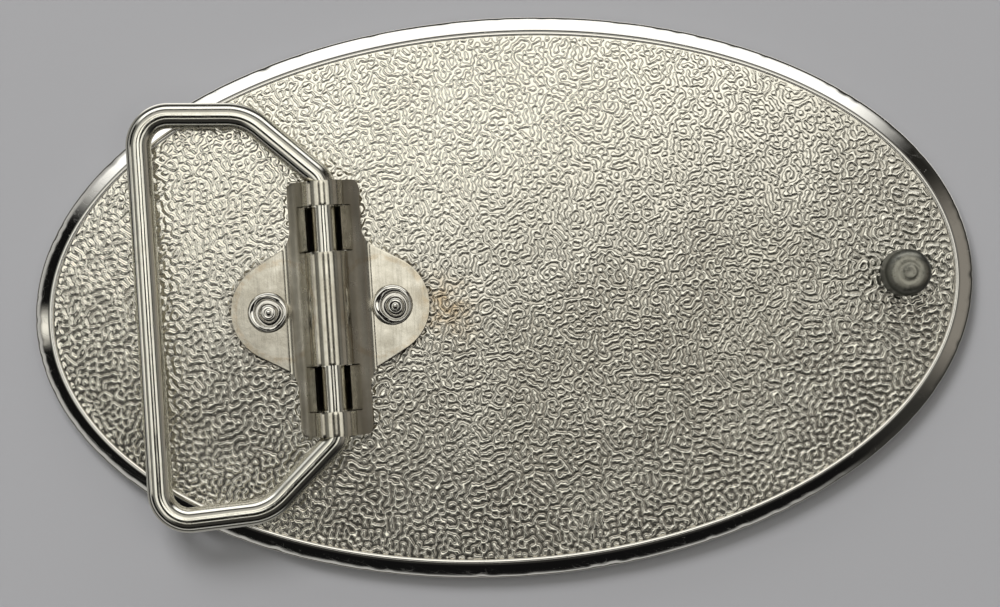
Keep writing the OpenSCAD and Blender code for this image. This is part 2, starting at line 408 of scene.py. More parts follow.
def hairlines_group():
    """Fine scratches: thin cuts from stretched noise, turned by an angle."""
    group, start, end = new_group(
        "hairlines",
        [("Vector", VECTOR, None), ("Scale", FLOAT, 300.0), ("Stretch", FLOAT, 20.0),
         ("Turn", FLOAT, 0.0), ("Width", FLOAT, 0.02)],
        [("Mask", FLOAT)],
    )
    turned = add_node(group, "ShaderNodeVectorRotate", rotation_type="Z_AXIS")
    join(group, start.outputs["Vector"], turned.inputs["Vector"])
    join(group, start.outputs["Turn"], turned.inputs["Angle"])
    squeeze = add_node(group, "ShaderNodeCombineXYZ")
    feed(group, squeeze.inputs[0], math_node(group, "DIVIDE", 1.0, start.outputs["Stretch"]))
    feed(group, squeeze.inputs[1], 1.0)
    feed(group, squeeze.inputs[2], 1.0)
    scaled = vector_node(group, "MULTIPLY", turned.outputs[0], squeeze.outputs[0])
    noise = noise_node(group, scaled, start.outputs["Scale"], 2.0)
    off_middle = math_node(group, "ABSOLUTE", math_node(group, "SUBTRACT", noise, 0.5))
    line = ramp_node(group, off_middle, 0.0, start.outputs["Width"], 1.0, 0.0)
    join(group, line, end.inputs["Mask"])
    return group


def skin_group():
    """The fine skin of plated metal: small pits and swells, as a height."""
    group, start, end = new_group(
        "plated_skin",
        [("Vector", VECTOR, None), ("Scale", FLOAT, 3000.0), ("Swell", FLOAT, 0.5)],
        [("Height", FLOAT)],
    )
    fine = noise_node(group, start.outputs["Vector"], start.outputs["Scale"], 3.0)
    broad_scale = math_node(group, "MULTIPLY", start.outputs["Scale"], 0.16)
    broad = noise_node(group, start.outputs["Vector"], broad_scale, 1.0)
    blend = add_node(group, "ShaderNodeMix", data_type="FLOAT")
    join(group, start.outputs["Swell"], blend.inputs["Factor"])
    join(group, fine, blend.inputs["A"])
    join(group, broad, blend.inputs["B"])
    join(group, blend.outputs["Result"], end.inputs["Height"])
    return group


def shared_group(name):
    """One of the shared effects, built the first time that it is asked for."""
    makers = {"patches": patches_group, "hairlines": hairlines_group, "plated_skin": skin_group}
    return bpy.data.node_groups.get(name) or makers[name]()


class Finish:
    """A finish being put together: one material with its Principled shader.

    The colour and the roughness are plain values on the shader until a mask varies them.
    """

    def __init__(self, name, base, roughness, metallic=1.0):
        self.material = bpy.data.materials.new(name)
        self.material.use_nodes = True
        self.tree = self.material.node_tree
        self.tree.nodes.clear()
        self.shader = self.tree.nodes.new("ShaderNodeBsdfPrincipled")
        self.shader.inputs["Metallic"].default_value = metallic
        out = self.tree.nodes.new("ShaderNodeOutputMaterial")
        join(self.tree, self.shader.outputs[0], out.inputs["Surface"])
        self.place = self.tree.nodes.new("ShaderNodeTexCoord").outputs["Object"]
        self.colour = (*base, 1.0)
        self.rough = roughness
        self.height = None

    def effect(self, name, **values):
        """Places a shared effect on the piece's own coordinates and returns its output."""
        node = add_node(self.tree, "ShaderNodeGroup", node_tree=shared_group(name))
        join(self.tree, self.place, node.inputs["Vector"])
        for label, value in values.items():
            node.inputs[label].default_value = value
        return node.outputs[0]

    def math(self, operation, first, second=None, clamp=False):
        return math_node(self.tree, operation, first, second, clamp)

    def axis(self, letter):
        """One coordinate of the surface, in metres."""
        node = add_node(self.tree, "ShaderNodeSeparateXYZ")
        join(self.tree, self.place, node.inputs[0])
        return node.outputs["XYZ".index(letter)]

    def ramp(self, value, low, high, low_out=0.0, high_out=1.0):
        return ramp_node(self.tree, value, low, high, low_out, high_out)

    def spot(self, centre, inner, outer):
        """A mask that is 1 within inner of a point and 0 beyond outer, in metres."""
        return self.ramp(vector_node(self.tree, "DISTANCE", self.place, centre), inner, outer, 1.0, 0.0)

    def tint(self, mask, target, amount=1.0):
        """Mixes a colour in where the mask is 1."""
        share_of_mask = self.math("MULTIPLY", mask, amount)
        self.colour = mix_colours(self.tree, share_of_mask, self.colour, (*target, 1.0))

    def dull(self, mask, change):
        """Adds to the roughness where the mask is 1."""
        self.rough = self.math("ADD", self.rough, self.math("MULTIPLY", mask, change), clamp=True)

    def raise_by(self, mask, millimetres):
        """Adds a height to the bump, in millimetres where the mask is 1."""
        part = self.math("MULTIPLY", mask, millimetres * MM)
        self.height = part if self.height is None else self.math("ADD", self.height, part)

    def done(self):
        feed(self.tree, self.shader.inputs["Base Color"], self.colour)
        feed(self.tree, self.shader.inputs["Roughness"], self.rough)
        if self.height is not None:
            bump = add_node(self.tree, "ShaderNodeBump")
            bump.inputs["Strength"].default_value = 1.0
            bump.inputs["Distance"].default_value = 1.0
            join(self.tree, self.height, bump.inputs["Height"])
            join(self.tree, bump.outputs["Normal"], self.shader.inputs["Normal"])
        return self.material


# ---------------------------------------------------------------- finishes

# Tones of the metal where the plating has dulled.
DULL_FIELD = (0.72, 0.69, 0.60)
DULL_SHEET = (0.42, 0.385, 0.3)
DULL_WIRE = (0.68, 0.65, 0.56)


def stain_round_bracket(finish, amount):
    """The brown stain that has crept out from under the bracket's right-hand ear."""
    low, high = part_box("hinge_bracket")
    centre = (high.x + 0.0012, -0.0008, low.z)
    near = finish.spot(centre, 0.0005, 0.0052)
    broken = finish.effect("patches", Scale=420.0, Cover=0.5, Softness=0.16)
    brown = tuple(settings("buckle_colours").stain_and_shade)
    finish.tint(finish.math("MULTIPLY", near, broken), brown, amount)


def ring_round_ears(finish, inside, outside):
    """A mask over the strip from inside to outside of the ears' round ends, in metres."""
    low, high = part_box("hinge_bracket")
    bracket = settings("buckle_bracket")
    soft = 0.3 * MM
    whole = None
    for side in (-1, 1):
        centre = ((low.x + high.x) / 2 + side * bracket.ear_x, 0.0, low.z)
        near = finish.spot(centre, bracket.ear + outside - soft, bracket.ear + outside)
        past = finish.spot(centre, bracket.ear + inside, bracket.ear + inside + soft)
        ring = finish.math("SUBTRACT", near, past, clamp=True)
        whole = ring if whole is None else finish.math("MAXIMUM", whole, ring)
    return whole


def field_finish():
    colours, stipple = settings("buckle_colours"), settings("buckle_stipple")
    finish = Finish("stippled_nickel", colours.field, 0.09)
    field_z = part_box("hinge_bracket")[0].z
    # Painted shade and grime: the ground between the tracks is darkened, in patches.
    deep, shallow = field_z - stipple.depth * 1.1, field_z - stipple.depth * 0.62
    ground = finish.ramp(finish.axis("Z"), deep, shallow, 1.0, 0.0)
    grime_and_shade = finish.effect("patches", Scale=160.0, Cover=0.6, Softness=0.3)
    finish.tint(finish.math("MULTIPLY", ground, grime_and_shade), tuple(colours.grime_and_shade), 0.8)
    cloud = finish.effect("patches", Scale=60.0, Cover=0.5, Softness=0.25)
    finish.tint(cloud, DULL_FIELD, 0.35)
    finish.dull(cloud, 0.05)
    stain_round_bracket(finish, 0.75)
    # Painted shadow: a dark ring on the field round the ears, where the bracket lies on the plate,
    # broken in patches.
    broken = finish.effect("patches", Scale=900.0, Cover=0.62, Softness=0.2)
    contact_shade = finish.math("MULTIPLY", ring_round_ears(finish, -0.0004, 0.0005), broken)
    finish.tint(contact_shade, tuple(colours.grime_and_shade), 0.6)
    finish.raise_by(finish.effect("plated_skin", Scale=2600.0, Swell=0.45), 0.0015)
    return finish.done()


def rim_finish():
    colours = settings("buckle_colours")
    finish = Finish("polished_nickel", colours.rim, 0.07)
    wear = finish.effect("patches", Scale=700.0, Cover=0.3, Softness=0.08)
    finish.dull(wear, 0.12)
    flecks = finish.effect("patches", Scale=2600.0, Cover=0.27, Softness=0.04)
    finish.raise_by(flecks, 0.012)
    lines = finish.effect("hairlines", Scale=500.0, Stretch=14.0, Turn=0.6, Width=0.012)
    finish.dull(lines, 0.1)
    finish.raise_by(finish.effect("plated_skin", Scale=900.0, Swell=0.75), 0.008)
    finish.raise_by(lines, -0.0006)
    return finish.done()


def front_finish():
    colours = settings("buckle_colours")
    finish = Finish("front_nickel", colours.rim, 0.16)
    for turn, width in ((0.2, 0.008), (1.3, 0.006)):
        lines = finish.effect("hairlines", Scale=240.0, Stretch=40.0, Turn=turn, Width=width)
        finish.dull(lines, 0.16)
        finish.raise_by(lines, -0.0008)
    cloud = finish.effect("patches", Scale=90.0, Cover=0.45, Softness=0.2)
    finish.dull(cloud, 0.07)
    # The front is painted darker where it rises off its face, in the groove and on the bevel.
    hollow = finish.ramp(finish.axis("Z"), 0.0001, 0.0003)
    finish.tint(hollow, tuple(colours.grime_and_shade), 0.35)
    finish.raise_by(finish.effect("plated_skin", Scale=1200.0, Swell=0.7), 0.003)
    return finish.done()


def sheet_finish():
    colours = settings("buckle_colours")
    finish = Finish("satin_sheet_nickel", colours.sheet, 0.13)
    cloud = finish.effect("patches", Scale=330.0, Cover=0.5, Softness=0.18)
    finish.tint(cloud, DULL_SHEET, 0.5)
    finish.dull(cloud, 0.05)
    spots = finish.effect("patches", Scale=900.0, Cover=0.33, Softness=0.05)
    finish.tint(spots, tuple(colours.grime_and_shade), 0.15)
    grain = finish.effect("hairlines", Scale=1500.0, Stretch=18.0, Turn=math.pi / 2, Width=0.05)
    finish.dull(grain, 0.04)
    finish.raise_by(grain, -0.0002)
    stain_round_bracket(finish, 0.45)
    # Painted shade: a dark ring in the stain's brown along the ears' round edges, broken in patches.
    worn = finish.effect("patches", Scale=1200.0, Cover=0.5, Softness=0.15)
    edge = finish.math("MULTIPLY", ring_round_ears(finish, -0.0007, 0.0002), worn)
    finish.tint(edge, tuple(colours.stain_and_shade), 0.35)
    foot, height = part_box("hinge_bracket")[0].z, finish.axis("Z")
    above_ears = finish.ramp(height, foot + 0.0008, foot + 0.0011)
    below_barrel = finish.ramp(height, foot + 0.0024, foot + 0.0034, 1.0, 0.0)
    flank = finish.math("MULTIPLY", above_ears, below_barrel)
    finish.dull(flank, 0.13)
    # Dark streaks run along the flanks, between the ears and the barrel.
    streaks = finish.effect("hairlines", Scale=420.0, Stretch=9.0, Turn=math.pi / 2, Width=0.2)
    finish.tint(finish.math("MULTIPLY", flank, streaks), tuple(colours.grime_and_shade), 0.45)
    finish.raise_by(finish.effect("plated_skin", Scale=1800.0, Swell=0.6), 0.006)
    return finish.done()


def wire_finish():
    colours = settings("buckle_colours")
    finish = Finish("bright_wire_nickel", colours.wire, 0.1)
    cloud = finish.effect("patches", Scale=500.0, Cover=0.4, Softness=0.12)
    finish.tint(cloud, DULL_WIRE, 0.4)
    finish.dull(cloud, 0.07)
    grain = finish.effect("hairlines", Scale=900.0, Stretch=16.0, Turn=math.pi / 2, Width=0.03)
    finish.dull(grain, 0.06)
    finish.raise_by(grain, -0.0008)
    finish.raise_by(finish.effect("plated_skin", Scale=1500.0, Swell=0.8), 0.004)
    return finish.done()


def rivet_finish():
    colours = settings("buckle_colours")
    finish = Finish("burnished_rivet_nickel", colours.rivet, 0.07)
    marks = finish.effect("patches", Scale=1500.0, Cover=0.38, Softness=0.07)
    finish.tint(marks, tuple(colours.grime_and_shade), 0.25)
    finish.dull(marks, 0.15)
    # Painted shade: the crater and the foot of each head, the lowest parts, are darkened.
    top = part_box("rivet_right")[1].z
    crater = finish.ramp(finish.axis("Z"), top - 0.0006, top - 0.0002, 1.0, 0.0)
    finish.tint(crater, tuple(colours.grime_and_shade), 0.3)
    finish.raise_by(finish.effect("plated_skin", Scale=2400.0, Swell=0.6), 0.008)
    return finish.done()


def stud_finish():
    colours = settings("buckle_colours")
    finish = Finish("dull_dark_steel", colours.stud, 0.42)
    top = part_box("stud")[1].z
    worn = finish.ramp(finish.axis("Z"), top - 0.0008, top - 0.0001)
    broken = finish.effect("patches", Scale=1100.0, Cover=0.62, Softness=0.2)
    finish.tint(finish.math("MULTIPLY", worn, broken), tuple(colours.stud_top), 0.85)
    dirt = finish.effect("patches", Scale=2300.0, Cover=0.36, Softness=0.08)
    finish.tint(dirt, tuple(colours.grime_and_shade), 0.5)
    finish.dull(dirt, 0.15)
    finish.raise_by(finish.effect("plated_skin", Scale=2600.0, Swell=0.5), 0.02)
    return finish.done()


def floor_finish():
    """Plain card, which lets light and sight through from below."""
    colours = settings("buckle_colours")
    finish = Finish("plain_card", colours.floor, 0.6, metallic=0.0)
    finish.raise_by(finish.effect("plated_skin", Scale=900.0, Swell=0.5), 0.02)
    material = finish.done()
    tree = finish.tree
    back = add_node(tree, "ShaderNodeNewGeometry").outputs["Backfacing"]
    clear = tree.nodes.new("ShaderNodeBsdfTransparent")
    mix = tree.nodes.new("ShaderNodeMixShader")
    out = next(n for n in tree.nodes if n.type == "OUTPUT_MATERIAL")
    join(tree, back, mix.inputs[0])
    join(tree, finish.shader.outputs[0], mix.inputs[1])
    join(tree, clear.outputs[0], mix.inputs[2])
    join(tree, mix.outputs[0], out.inputs["Surface"])
    return material


# ---------------------------------------------------------------- plate

def stipple_heights(x, y):
    """Height of the worm-track stipple at each place, from 0 on the ground to 1 on a track.

    Noise that holds only ripples near one pitch is cut at a level, which leaves short bent
    tracks of an even width. A weaker ripple at half the pitch kinks them.
    """
    sizes = settings("buckle_stipple")
    pitch = in_mm(sizes.pitch)
    samples_per_pitch = 12
    step = pitch / samples_per_pitch
    span = np.array([in_mm(CAD_BOX[1][0] - CAD_BOX[0][0]), in_mm(CAD_BOX[1][1] - CAD_BOX[0][1])])
    columns, rows = (np.ceil(span / step / 2).astype(int) * 2 + 4).tolist()
    chance = np.random.default_rng(sizes.seed)
    wave_x = np.fft.fftfreq(columns, step)[None, :]
    wave_y = np.fft.fftfreq(rows, step)[:, None]
    wave = np.hypot(wave_x, wave_y)

    def ripples(wanted, spread):
        keep = np.exp(-((wave / wanted - 1) / spread) ** 2)
        raw = np.fft.fft2(chance.normal(size=(rows, columns)))
        out = np.real(np.fft.ifft2(raw * keep))
        return out / out.std()

    level = ripples(1 / pitch, 0.24) + 0.4 * ripples(1.8 / pitch, 0.25)
    for _ in range(3):
        level = np.tanh(level * 1.1)
        level = np.real(np.fft.ifft2(np.fft.fft2(level) * np.exp(-(wave * pitch / 2.6) ** 4)))
        level /= level.std()
    track = 0.5 * (1 + np.tanh((level - sizes.level) / sizes.wall))
    track = track * (0.93 + 0.07 * np.tanh(ripples(0.35 / pitch, 0.5)))
    column = (x - in_mm(CAD_BOX[0][0])) / step + 1
    row = (y - in_mm(CAD_BOX[0][1])) / step + 1
    c0, r0 = np.floor(column).astype(int), np.floor(row).astype(int)
    u, v = column - c0, row - r0
    return (
        track[r0, c0] * (1 - u) * (1 - v) + track[r0, c0 + 1] * u * (1 - v)
        + track[r0 + 1, c0] * (1 - u) * v + track[r0 + 1, c0 + 1] * u * v
    )


def rim_profile(sizes, top, field_z):
    """(inset, height, nick share) from the field's edge over the rim to the front's groove.

    It also returns how many of the rows belong to the rim.
    """
    band, lip = in_mm(sizes.rim_band), in_mm(sizes.rim_lip)
    edge_top, edge_foot = in_mm(sizes.edge_top), in_mm(sizes.edge_foot)
    bulge, bevel = in_mm(sizes.band_bulge), in_mm(sizes.front_bevel)
    inner = band + lip
    rows = [(inner - 0.01, field_z + 0.04, 0), (inner - 0.03, top - 0.03, 0)]
    rows += [(inner - 0.07, top, 0), (band + 0.05, top, 0.05)]
    steps = 12
    drop = top - edge_top
    for i in range(1, steps):
        t = i / steps
        swell = bulge * math.sin(math.pi * t) / math.hypot(band, drop)
        rows.append((band * (1 - t) - swell * drop, top - drop * t + swell * band, t**3))
    rows += [(0.05, edge_top + 0.02, 1), (0.0, edge_top - 0.06, 0.8)]
    rows += [(0.0, edge_top - 0.2, 0.3), (0.0, edge_foot + 0.1, 0.1), (0.04, edge_foot - 0.03, 0)]
    rim_rows = len(rows)
    rows += [(bevel * 0.5, edge_foot * 0.42, 0), (bevel - 0.06, 0.03, 0), (bevel + 0.04, 0.0, 0)]
    start, width = in_mm(sizes.groove_inset), in_mm(sizes.groove_width)
    depth = in_mm(sizes.groove_depth)
    rows += [(start - 0.05, 0.0, 0), (start + 0.04, 0.06, 0)]
    for i in range(1, 8):
        t = i / 8
        rows.append((start + width * t, depth * math.sin(math.pi * t) ** 0.6, 0))
    rows += [(start + width - 0.04, 0.06, 0), (start + width + 0.05, 0.0, 0)]
    return rows, rim_rows


def plate_mesh():
    """One closed skin: the stippled field, the rim around it, and the front beneath.

    After the points and faces come the numbers of faces in the field and in the rim.
    """
    sizes = settings("buckle_plate")
    low, high = box_mm("plate")
    half_x, half_y = (high[0] - low[0]) / 2, (high[1] - low[1]) / 2
    centre_x, centre_y = (high[0] + low[0]) / 2, (high[1] + low[1]) / 2
    field_z = box_mm("hinge_bracket")[0][2]
    inner = in_mm(sizes.rim_band + sizes.rim_lip)
    cell = in_mm(sizes.cell)
    columns = round(2 * (half_x - inner) / cell)
    rows = round(2 * (half_y - inner) / cell)

    # A square grid is drawn out to the oval, so that its border runs along the rim.
    across, up = np.meshgrid(np.linspace(-1, 1, columns + 1), np.linspace(-1, 1, rows + 1))
    unit_x = across * np.sqrt(1 - up**2 / 2)
    unit_y = up * np.sqrt(1 - across**2 / 2)
    x = unit_x * (half_x - inner) + centre_x
    y = unit_y * (half_y - inner) + centre_y
    depth = in_mm(settings("buckle_stipple").depth)
    from_rim = (1 - np.hypot(unit_x, unit_y)) * (half_y - inner)
    rise = stipple_heights(x, y) * smooth_step(from_rim, 0.0, 0.3)
    filled = smooth_step(0.8 * unit_y - 0.35 * unit_x, -0.5, 0.7)
    z = field_z - depth * (1.2 - 0.55 * filled) * (1 - rise)
    points = [np.stack([x.ravel(), y.ravel(), z.ravel()], axis=1)]

    numbers = np.arange((rows + 1) * (columns + 1)).reshape(rows + 1, columns + 1)
    faces = [np.stack([numbers[:-1, :-1], numbers[:-1, 1:], numbers[1:, 1:], numbers[1:, :-1]],
                      axis=-1).reshape(-1, 4)]
    border = np.concatenate(
        [numbers[0, :-1], numbers[:-1, -1], numbers[-1, :0:-1], numbers[:0:-1, 0]]
    )
    border_x, border_y = unit_x.ravel()[border], unit_y.ravel()[border]
    angles = np.arctan2(border_y, border_x)

    nicks = np.clip(ripple(angles, 11, range(9, 160, 3), 0.35) + 0.15, 0, 1) ** 1.5
    swells = ripple(angles, 12, range(5, 60), 0.5)
    profile, rim_rows = rim_profile(sizes, high[2], field_z)
    front_rows = 14
    last_inset = profile[-1][0]
    reach = half_y - last_inset
    for i in range(1, front_rows + 1):
        profile.append((last_inset + reach * i / (front_rows + 1), 0.0, 0))
    cut = in_mm(sizes.edge_nicks)
    previous, total = border, len(numbers.ravel())
    for inset, height, nick in profile:
        inward = inset + nick * cut * nicks
        lowered = height - (0.02 * np.abs(swells) * nick if height > 1 else 0)
        ring_x = border_x * (half_x - inward) + centre_x
        ring_y = border_y * (half_y - inward) + centre_y
        points.append(np.stack([ring_x, ring_y, np.broadcast_to(lowered, ring_x.shape)], axis=1))
        current = np.arange(len(border)) + total
        faces.append(ring_quads(previous, current))
        previous, total = current, total + len(border)
    points.append(np.array([[centre_x, centre_y, 0.0]]))
    faces.append(np.stack([previous, np.full(len(previous), total), np.roll(previous, -1)], axis=1))
    return np.concatenate(points), faces, len(faces[0]), len(border) * rim_rows


class BUCKLE_OT_plate(bpy.types.Operator):
    """Build the oval plate with its stippled back and polished rim"""

    bl_idname = "buckle.plate"
    bl_label = "Plate"

    def execute(self, context):
        points, faces, field_faces, rim_faces = plate_mesh()
        piece = write_mesh("oval_plate", points, faces, sharp_degrees=55)
        seat_piece(piece, "buckle", "plate", "plate_nickel", field_finish(), rim_finish(),
                   front_finish())
        slots = np.zeros(len(piece.data.polygons), np.int32)
        slots[field_faces:] = 1
        slots[field_faces + rim_faces:] = 2
        piece.data.polygons.foreach_set("material_index", slots)
        return {"FINISHED"}


# ---------------------------------------------------------------- hinge bracket

def ear_outline(sizes, body_half):
    """(x, half length) pairs along an ear's edge, from the body's side to the ear's tip."""
    ear_x, ear, fillet = in_mm(sizes.ear_x), in_mm(sizes.ear), in_mm(sizes.fillet)
    slope = sizes.shoulder
    centre_x = body_half + fillet
    centre_y = (ear + fillet + (ear_x - centre_x) * math.sin(slope)) / math.cos(slope)
    pairs = []
    for i in range(9):
        a = math.pi + (math.pi / 2 - slope) * i / 8
        pairs.append((centre_x + fillet * math.cos(a), centre_y + fillet * math.sin(a)))
    start = pairs[-1]
    tangent = math.pi / 2 - slope
    end = (ear_x + ear * math.cos(tangent), ear * math.sin(tangent))
    for i in range(1, 20):
        pairs.append(tuple(a + (b - a) * i / 20 for a, b in zip(start, end)))
    for i in range(26):
        a = tangent * (1 - i / 25) + 0.02 * i / 25
        pairs.append((ear_x + ear * math.cos(a), ear * math.sin(a)))
    return pairs


def flank_height(x, sizes, loop_mid, axis):
    """Height of the sheet's middle line over the field, from a loop's side out to an ear."""
    foot_x, foot_z, blend = in_mm(sizes.bend_x), in_mm(sizes.sheet) / 2, 0.45
    slope = (axis - foot_z) / (foot_x - loop_mid)
    straight = axis - (x - loop_mid) * slope
    along = np.clip((x - loop_mid) / (foot_x - blend - loop_mid), 0, 1)
    hollow = in_mm(sizes.hollow) * np.sin(math.pi * along) ** 2
    near = np.clip((x - foot_x + blend) / (2 * blend), 0, 1)
    eased = foot_z + slope * blend * (1 - near) ** 2
    outer = np.where(x < foot_x + blend, eased, foot_z)
    return np.where(x < foot_x - blend, straight - hollow, outer)


def bracket_rows(sizes, half, fillet_start):
    """The y of every row of the bracket's mesh, and where the loops part."""
    middle, under = in_mm(sizes.middle) / 2, in_mm(sizes.under)
    gap = in_mm(sizes.shear) / 2
    stops = [0, middle - gap, middle + gap, middle + under - gap, middle + under + gap]
    stops = sorted(stops + [fillet_start, half - in_mm(sizes.corner), half])
    row_step = 0.3
    rows = []
    for a, b in zip(stops[:-1], stops[1:]):
        count = max(1, round((b - a) / row_step))
        rows += [a + (b - a) * k / count for k in range(count)]
    rows.append(half)
    return np.array([-y for y in rows[:0:-1]] + rows)


def bracket_skin():
    """The middle surface of the stamped sheet: two flanks with ears, and five loops."""
    sizes = settings("buckle_bracket")
    low, high = box_mm("hinge_bracket")
    wire_low, wire_high = box_mm("wire_loop")
    field_z = low[2]
    sheet = in_mm(sizes.sheet)
    centre = (low[0] + high[0]) / 2
    axis = (wire_low[2] + wire_high[2]) / 2 - field_z
    loop_mid = high[2] - field_z - axis - sheet / 2
    half, body_half = high[1], in_mm(sizes.body) / 2
    edge = ear_outline(sizes, body_half)
    fillet_start = edge[0][1]
    rows = bracket_rows(sizes, half, fillet_start)
    middle, under, gap = in_mm(sizes.middle) / 2, in_mm(sizes.under), in_mm(sizes.shear) / 2
    corner = in_mm(sizes.corner)

    points, faces = [], []

    def add(x, y, z):
        points.append((centre + x, y, field_z + z))
        return len(points) - 1

    slack = in_mm(sizes.slack)
    under_rows = [middle + gap / 2 < abs(y) < middle + under - gap / 2 for y in rows]
    parting = (-middle - under, -middle, middle, middle + under)
    cuts = [j for j in range(len(rows) - 1) if any(rows[j] < y < rows[j + 1] for y in parting)]
    flank_columns, slit_columns = 8, 3
    edges = {}
    for side in (-1, 1):
        columns = []
        for k in range(flank_columns + 1):
            x = loop_mid + (body_half - loop_mid) * k / flank_columns
            past = max(x - (body_half - corner), 0)
            trim = corner - math.sqrt(max(corner**2 - past**2, 0))
            squeeze = (half - trim - fillet_start) / (half - fillet_start)
            column = {}
            for j, y in enumerate(rows):
                beyond = abs(y) - fillet_start
                reach = abs(y) if beyond <= 0 else fillet_start + beyond * squeeze
                out = x + slack * max(0, 1 - k / slit_columns) * under_rows[j]
                column[j] = add(side * out, math.copysign(reach, y),
                                float(flank_height(np.array(x), sizes, loop_mid, axis)))
            columns.append(column)
        inside = [j for j, y in enumerate(rows) if abs(y) <= fillet_start + 1e-6]
        for x, reach in edge[1:]:
            height = float(flank_height(np.array(x), sizes, loop_mid, axis))
            columns.append({j: add(side * x, rows[j] / fillet_start * reach, height) for j in inside})
        for k, (near, far) in enumerate(zip(columns[:-1], columns[1:])):
            for j in range(len(rows) - 1):
                if j in far and j + 1 in far and not (k < slit_columns and j in cuts):
                    quad = (near[j], far[j], far[j + 1], near[j + 1])
                    faces.append(quad if side > 0 else quad[::-1])
        edges[side] = columns[0]
    steps = 28
    for j in range(len(rows) - 1):
        place = abs((rows[j] + rows[j + 1]) / 2)
        if abs(place - middle) < gap or abs(place - middle - under) < gap:
            continue
        lift = -1 if middle < place < middle + under else 1
        for row in (j, j + 1):
            if (lift, row) not in edges:
                line = [edges[1][row]]
                for k in range(1, steps):
                    a = math.pi * k / steps
                    wide = loop_mid + slack * under_rows[row]
                    line.append(add(wide * math.cos(a), rows[row], axis + lift * loop_mid * math.sin(a)))
                edges[(lift, row)] = line + [edges[-1][row]]
        near, far = edges[(lift, j)], edges[(lift, j + 1)]
        for k in range(steps):
            faces.append((near[k], near[k + 1], far[k + 1], far[k])[::-1])
    return points, faces, sheet


class BUCKLE_OT_bracket(bpy.types.Operator):
    """Build the stamped hinge bracket with its worn edges"""

    bl_idname = "buckle.bracket"
    bl_label = "Hinge bracket"

    def execute(self, context):
        points, faces, sheet = bracket_skin()
        piece = write_mesh("stamped_bracket", points, [np.array(faces)])
        recalculate_normals(piece)
        thick = piece.modifiers.new("sheet", "SOLIDIFY")
        thick.thickness = sheet * MM
        thick.offset = 0
        thick.use_even_offset = True
        rounded = piece.modifiers.new("worn_edges", "BEVEL")
        rounded.width = settings("buckle_bracket").edge_round
        rounded.segments = 3
        rounded.limit_method = "ANGLE"
        rounded.angle_limit = math.radians(50)
        rounded.use_clamp_overlap = True
        depsgraph = context.evaluated_depsgraph_get()
        final = bpy.data.meshes.new_from_object(piece.evaluated_get(depsgraph))
        piece.modifiers.clear()
        piece.data = final
        final.name = "stamped_bracket"
        keep_in_box(final, "hinge_bracket")
        open_mouths(final)
        final.shade_smooth()
        final.set_sharp_from_angle(angle=math.radians(60))
        seat_piece(piece, "buckle", "hinge_bracket", "hinge_nickel", sheet_finish())
        return {"FINISHED"}


def open_mouths(mesh):
    """Flares the bore at both ends, so that the wire's bend stays clear as it swings."""
    sizes = settings("buckle_bracket")
    low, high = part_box("hinge_bracket")
    wire_low, wire_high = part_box("wire_loop")
    axis_x, axis_z = (low.x + high.x) / 2, (wire_low.z + wire_high.z) / 2
    wire_radius = (wire_high.z - wire_low.z) / 2
    inside = settings("buckle_wire").neck_bend - wire_radius
    for vertex in mesh.vertices:
        depth = min(abs(vertex.co.y) - (high.y - sizes.mouth), sizes.mouth)
        across, up = vertex.co.x - axis_x, vertex.co.z - axis_z
        if depth < 0:
            continue
        reach = math.hypot(across, up)
        wanted = wire_radius + sizes.clear + inside - math.sqrt(inside**2 - depth**2)
        if reach < wanted:
            vertex.co.x = axis_x + across * wanted / reach
            vertex.co.z = axis_z + up * wanted / reach


def keep_in_box(mesh, node):
    """Draws any point that stands outside the frame node's box back onto it."""
    low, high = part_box(node)
    places = np.zeros(len(mesh.vertices) * 3, np.float32)
    mesh.vertices.foreach_get("co", places)
    places = np.clip(places.reshape(-1, 3), np.array(low), np.array(high))
    mesh.vertices.foreach_set("co", places.astype(np.float32).ravel())
    mesh.update()


# ---------------------------------------------------------------- wire loop

def rounded_route(corners, bends, step):
    """Points along a flat route of straight runs and arcs, evenly spaced."""
    corners = [np.array(c, float) for c in corners]
    places, turns = [], []
    for i in range(1, len(corners) - 1):
        before, after = corners[i] - corners[i - 1], corners[i + 1] - corners[i]
        before, after = before / np.linalg.norm(before), after / np.linalg.norm(after)
        turn = math.atan2(before[0] * after[1] - before[1] * after[0], before @ after)
        setback = bends[i] * math.tan(abs(turn) / 2)
        start = corners[i] - before * setback
        centre = start + np.array([-before[1], before[0]]) * bends[i] * math.copysign(1, turn)
        places.append((start, centre, turn))
    path = [corners[0]]
    for start, centre, turn in places:
        run = np.linalg.norm(start - path[-1])
        count = max(2, round(run / step))
        begin = path[-1]
        path += [begin + (start - begin) * k / count for k in range(1, count + 1)]
        arm = start - centre
        count = max(8, round(abs(turn) * np.linalg.norm(arm) / step))
        for k in range(1, count + 1):
            a = turn * k / count
            turned = np.array([arm[0] * math.cos(a) - arm[1] * math.sin(a),
                               arm[0] * math.sin(a) + arm[1] * math.cos(a)])
            path.append(centre + turned)
    begin, final = path[-1], corners[-1]
    count = max(2, round(np.linalg.norm(final - begin) / step))
    path += [begin + (final - begin) * k / count for k in range(1, count + 1)]
    return np.array(path)


def wire_route(radius):
    """The loop's centre line in plan, in millimetres, from one end of the wire to the other."""
    sizes = settings("buckle_wire")
    low, high = box_mm("wire_loop")
    hinge = high[0] - radius
    bar = low[0] + radius
    upper = [
        (hinge, in_mm(sizes.end_gap) / 2),
        (hinge, in_mm(sizes.neck_y)),
        (hinge - in_mm(sizes.shoulder_x), in_mm(sizes.shoulder_y)),
        (bar, in_mm(sizes.bar_y)),
    ]
    bends = [0, in_mm(sizes.neck_bend), in_mm(sizes.shoulder_bend), in_mm(sizes.corner_bend)]
    corners = upper + [(x, -y) for x, y in reversed(upper)]
    return rounded_route(corners, bends + bends[::-1], 0.25)


